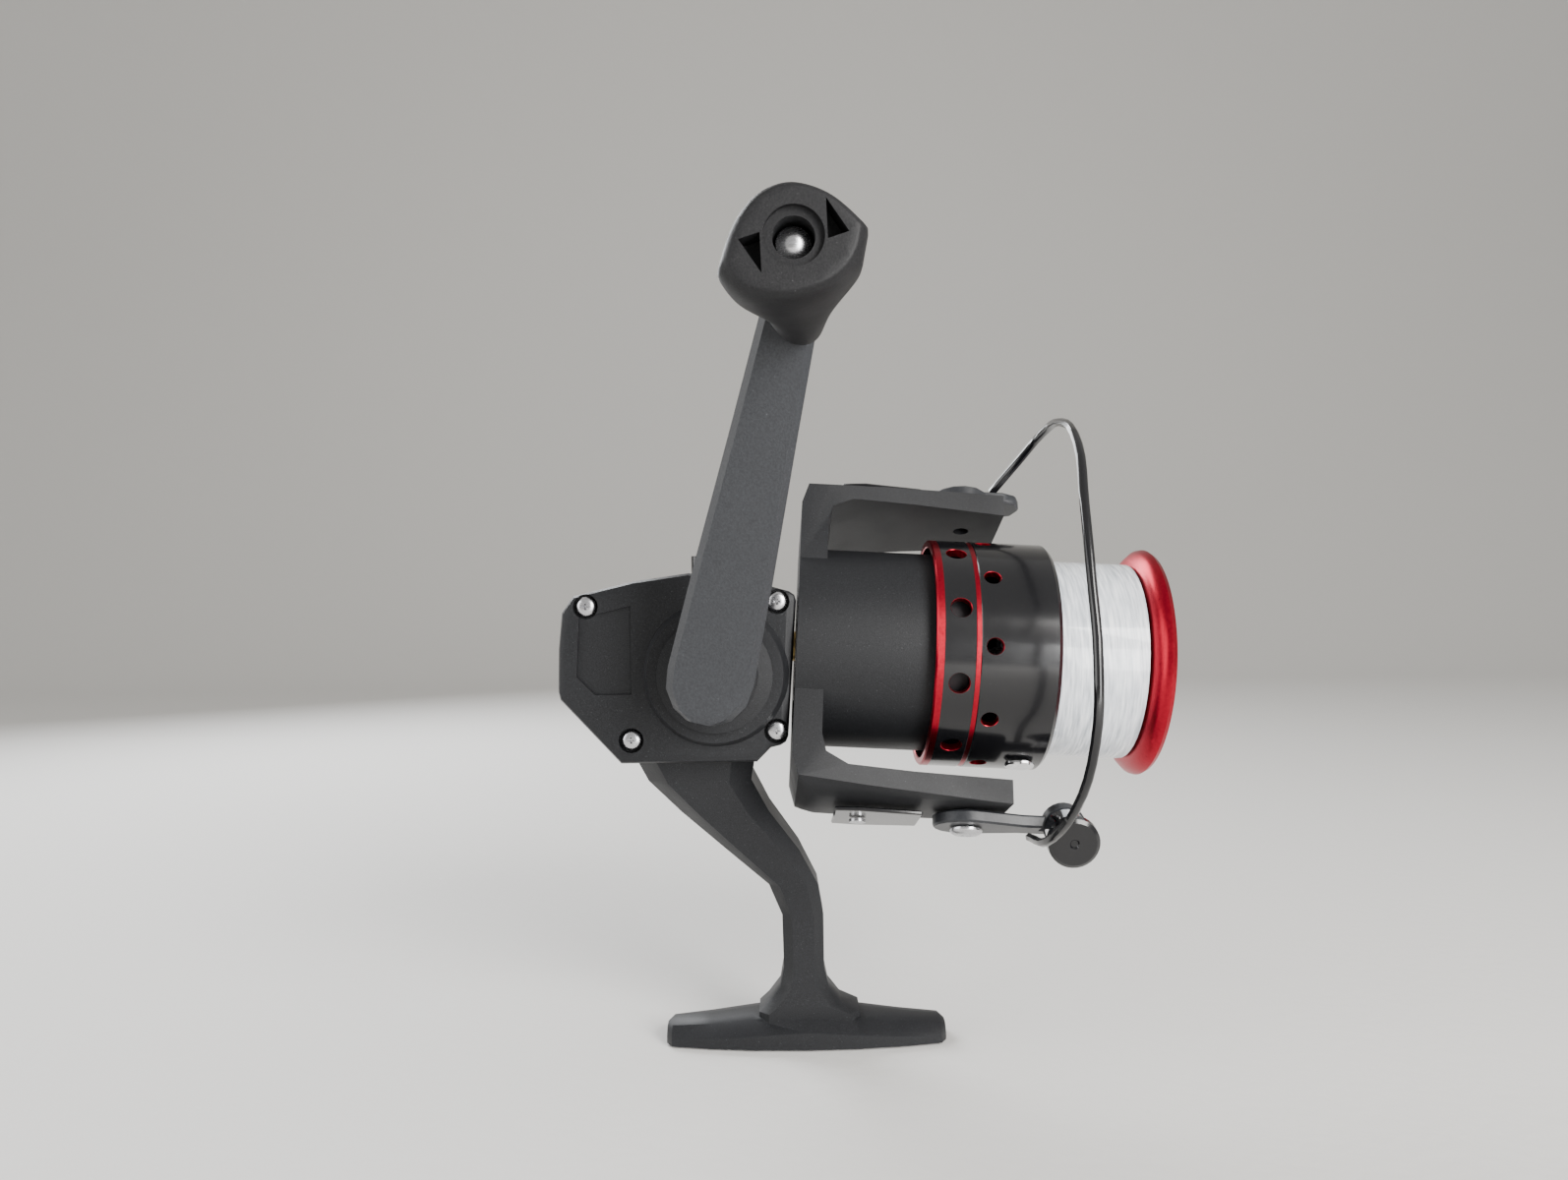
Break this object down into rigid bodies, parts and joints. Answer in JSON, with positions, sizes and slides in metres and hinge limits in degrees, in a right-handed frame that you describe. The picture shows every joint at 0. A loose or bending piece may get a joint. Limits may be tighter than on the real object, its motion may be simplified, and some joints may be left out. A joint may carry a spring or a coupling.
{
  "type": "spinning reel",
  "caption": "Open-face spinning reel with a foot, geared rotor and bail, line-filled spool, front drag and a cranked handle.",
  "frame": {"origin": "centre of the foot's flat underside, which lies on the rod", "axes": "+X forward along the rod, +Z from the foot up to the body, -Y to the handle side"},
  "size_m": [0.1277, 0.1146, 0.155],
  "materials": {
    "charcoal": "matte charcoal, fine speckle",
    "satin": "satin charcoal paint",
    "gloss": "glossy black",
    "rubber": "matte black grip",
    "steel": "nickel-like steel",
    "chrome": "polished",
    "brass": "machined",
    "zinc": "die-cast zinc, dull",
    "felt": "oiled felt",
    "line": "clear monofilament"
  },
  "bodies": {
    "body": {"body_housing": "charcoal", "side_cover": "charcoal", "cover_screw_1": "steel", "cover_screw_2": "steel", "cover_screw_3": "steel", "cover_screw_4": "steel", "gear_bearing_left": "steel", "gear_bearing_right": "steel", "pinion_bearing": "steel", "clutch_housing": "steel", "crosswind_pin": "steel"},
    "anti_reverse": {"anti_reverse_lever": "gloss"},
    "drive": {"drive_gear": "zinc", "handle_shaft": "steel", "handle_collar": "charcoal", "screw_cap": "charcoal", "handle_arm": "satin", "knob_post": "steel", "knob_screw": "steel"},
    "knob": {"handle_knob": "rubber"},
    "crosswind": {"crosswind_gear": "zinc"},
    "rotor": {"rotor": "charcoal", "pinion_gear": "brass", "rotor_nut": "brass", "clutch_sleeve": "steel", "roller_arm_cover": "gloss", "holder_arm_cover": "gloss", "roller_arm_cover_screw": "steel", "holder_arm_cover_screw": "steel"},
    "bail": {"bail_arm": "satin", "bail_holder": "satin", "bail_wire": "gloss", "bail_arm_screw": "steel", "bail_holder_screw": "steel", "roller_cap": "gloss", "roller_post": "steel"},
    "roller": {"line_roller": "chrome"},
    "shaft": {"main_shaft": "steel", "slider_block": "zinc", "slider_screw": "steel"},
    "spool": {"spool": "gloss", "line_winding": "line", "line_clip": "chrome", "click_ratchet": "zinc", "drag_felt_rear": "felt", "drag_metal_washer": "steel", "drag_felt_front": "felt", "drag_clip": "steel"},
    "drag": {"drag_knob": "gloss"}
  },
  "joints": [
    {"name": "handle_turn", "type": "hinge", "parent": "body", "child": "drive", "pos_m": [-0.01707, 0, 0.0793], "axis": [0, 1, 0], "continuous": true},
    {"name": "knob_spin", "type": "hinge", "parent": "drive", "child": "knob", "pos_m": [-0.00136, -0.07, 0.14423], "axis": [0, 1, 0], "continuous": true},
    {"name": "crosswind_turn", "type": "hinge", "parent": "body", "child": "crosswind", "pos_m": [-0.0305, 0, 0.0803], "axis": [0, 1, 0], "continuous": true},
    {"name": "rotor_turn", "type": "hinge", "parent": "body", "child": "rotor", "pos_m": [-0.01707, 0, 0.0845], "axis": [0.9982, 0, -0.0593], "continuous": true},
    {"name": "bail_flip", "type": "hinge", "parent": "rotor", "child": "bail", "pos_m": [0.03484, 0, 0.08142], "axis": [0.055, 0.3746, 0.9256], "range_deg": [0, 115]},
    {"name": "roller_spin", "type": "hinge", "parent": "bail", "child": "roller", "pos_m": [0.05278, -0.01702, 0.04618], "axis": [-0.0113, -0.9816, -0.1905], "continuous": true},
    {"name": "spool_stroke", "type": "slide", "parent": "body", "child": "shaft", "axis": [0.9982, 0, -0.0593], "range_m": [-0.014, 0]},
    {"name": "spool_slip", "type": "hinge", "parent": "shaft", "child": "spool", "pos_m": [-0.01707, 0, 0.0845], "axis": [0.9982, 0, -0.0593], "continuous": true},
    {"name": "drag_turn", "type": "hinge", "parent": "shaft", "child": "drag", "pos_m": [-0.01707, 0, 0.0845], "axis": [0.9982, 0, -0.0593], "range_deg": [-360, 720]},
    {"name": "anti_reverse_flip", "type": "hinge", "parent": "body", "child": "anti_reverse", "pos_m": [-0.012, 0, 0.1], "axis": [0, 0, 1], "range_deg": [-20, 20]}
  ],
  "couplings": [
    {"joint": "rotor_turn", "follows": "handle_turn", "ratio": -5.2},
    {"joint": "crosswind_turn", "follows": "handle_turn", "ratio": -0.875}
  ]
}
